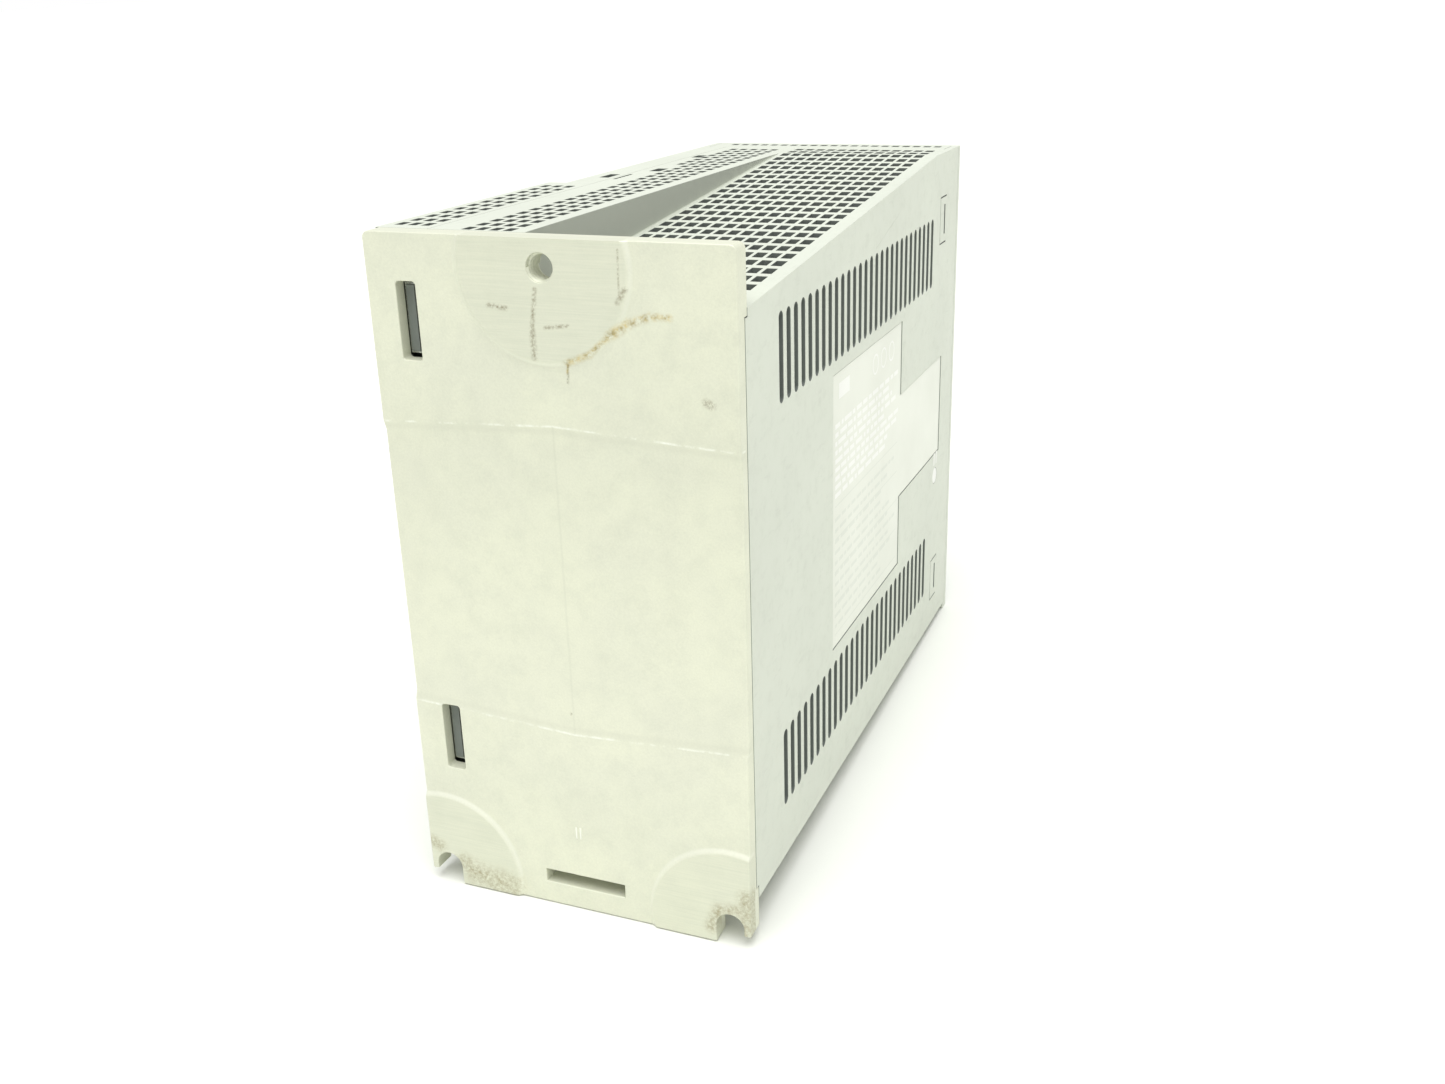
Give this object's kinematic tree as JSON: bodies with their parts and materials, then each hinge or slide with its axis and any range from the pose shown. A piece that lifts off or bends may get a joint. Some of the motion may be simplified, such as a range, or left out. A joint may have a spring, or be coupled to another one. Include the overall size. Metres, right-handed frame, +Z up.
{
  "type": "power supply unit",
  "caption": "Tall narrow DC power supply with a cast back plate, vented casing with sloping roof grille, and a front flap over its screw terminals.",
  "frame": {"origin": "bottom centre of the unit's bounding box, level with the lower edge of the back plate", "axes": "+Y points out of the mounting face into the wall, -Y is the front, +X is the right-hand side seen from the front, +Z up"},
  "size_m": [0.088, 0.195, 0.166],
  "materials": {
    "cast_aluminium": "bare die casting, matte grain with faint flow marks",
    "casing_plastic": "moulded light grey plastic, fine texture",
    "flap_plastic": "moulded grey plastic",
    "label_film": "satin polyester film",
    "front_film": "printed matte film",
    "zinc_steel": "zinc plated",
    "spring_steel": "bright spring steel",
    "circuit_board": "green solder mask",
    "black_plastic": "black moulded plastic",
    "tinned_brass": "tinned brass",
    "green_plastic": "green moulded plastic",
    "blue_plastic": "blue moulded plastic",
    "red_plastic": "red moulded plastic",
    "white_plastic": "white moulded plastic",
    "clear_plastic": "clear acrylic",
    "ferrite": "dark ferrite",
    "powder_core": "coated powder core",
    "copper_wire": "enamelled copper",
    "winding_tape": "yellow polyester tape",
    "can_aluminium": "drawn can",
    "dark_sleeve": "shrunk sleeve",
    "yellow_resin": "resin box",
    "thermal_rubber": "silicone pad",
    "fuse_glass": "glass tube with plated caps"
  },
  "bodies": {
    "unit": {"rear_plate": "cast_aluminium", "housing": "casing_plastic", "side_cover": "casing_plastic", "front_cover": "casing_plastic", "rating_label": "label_film", "front_label": "front_film", "side_sticker": "label_film", "cover_clips": "spring_steel", "plate_screws": "zinc_steel", "main_board": "circuit_board", "board_screws": "zinc_steel", "front_board": "circuit_board", "board_link": "black_plastic", "terminal_strip": "black_plastic", "terminal_tabs": "tinned_brass", "terminal_screws": "zinc_steel", "terminal_washers": "zinc_steel", "signal_socket": "green_plastic", "signal_pins": "tinned_brass", "trimmer_body": "blue_plastic", "selector_body": "black_plastic", "mode_switch_body": "blue_plastic", "status_leds": "clear_plastic", "light_pipes": "clear_plastic", "transformer_core": "ferrite", "transformer_bobbin": "black_plastic", "transformer_winding": "winding_tape", "pfc_choke_core": "powder_core", "pfc_choke_winding": "copper_wire", "mains_choke_core": "powder_core", "mains_choke_winding": "copper_wire", "output_choke_core": "powder_core", "output_choke_winding": "copper_wire", "bulk_capacitors": "can_aluminium", "bulk_capacitor_sleeves": "dark_sleeve", "output_capacitors": "dark_sleeve", "film_capacitors": "yellow_resin", "relay": "black_plastic", "fuse": "fuse_glass", "fuse_clips": "tinned_brass", "surge_varistor": "blue_plastic", "bridge_rectifier": "black_plastic", "power_transistors": "black_plastic", "output_rectifiers": "black_plastic", "device_leads": "tinned_brass", "thermal_pads": "thermal_rubber", "device_clips": "spring_steel", "clip_screws": "zinc_steel", "insulation_sheet": "white_plastic"},
    "flap": {"terminal_flap": "flap_plastic"},
    "trimmer": {"trimmer_rotor": "white_plastic"},
    "selector": {"selector_slider": "red_plastic"},
    "mode_1": {"mode_switch_1": "white_plastic"},
    "mode_2": {"mode_switch_2": "white_plastic"},
    "plug": {"signal_plug": "green_plastic", "signal_plug_screws": "zinc_steel"}
  },
  "joints": [
    {"name": "flap_hinge", "type": "hinge", "parent": "unit", "child": "flap", "pos_m": [0, -0.0951, 0.0159], "axis": [1, 0, 0], "range_deg": [0, 100]},
    {"name": "trimmer_turn", "type": "hinge", "parent": "unit", "child": "trimmer", "pos_m": [-0.03, -0.0967, 0.0885], "axis": [0, 1, 0], "range_deg": [-135, 135]},
    {"name": "selector_slide", "type": "slide", "parent": "unit", "child": "selector", "axis": [1, 0, 0], "range_m": [0, 0.004]},
    {"name": "mode_1_slide", "type": "slide", "parent": "unit", "child": "mode_1", "axis": [0, 0, 1], "range_m": [0, 0.002]},
    {"name": "mode_2_slide", "type": "slide", "parent": "unit", "child": "mode_2", "axis": [0, 0, 1], "range_m": [0, 0.002]},
    {"name": "plug_pull", "type": "slide", "parent": "unit", "child": "plug", "axis": [0, -1, 0], "range_m": [0, 0.016]}
  ]
}
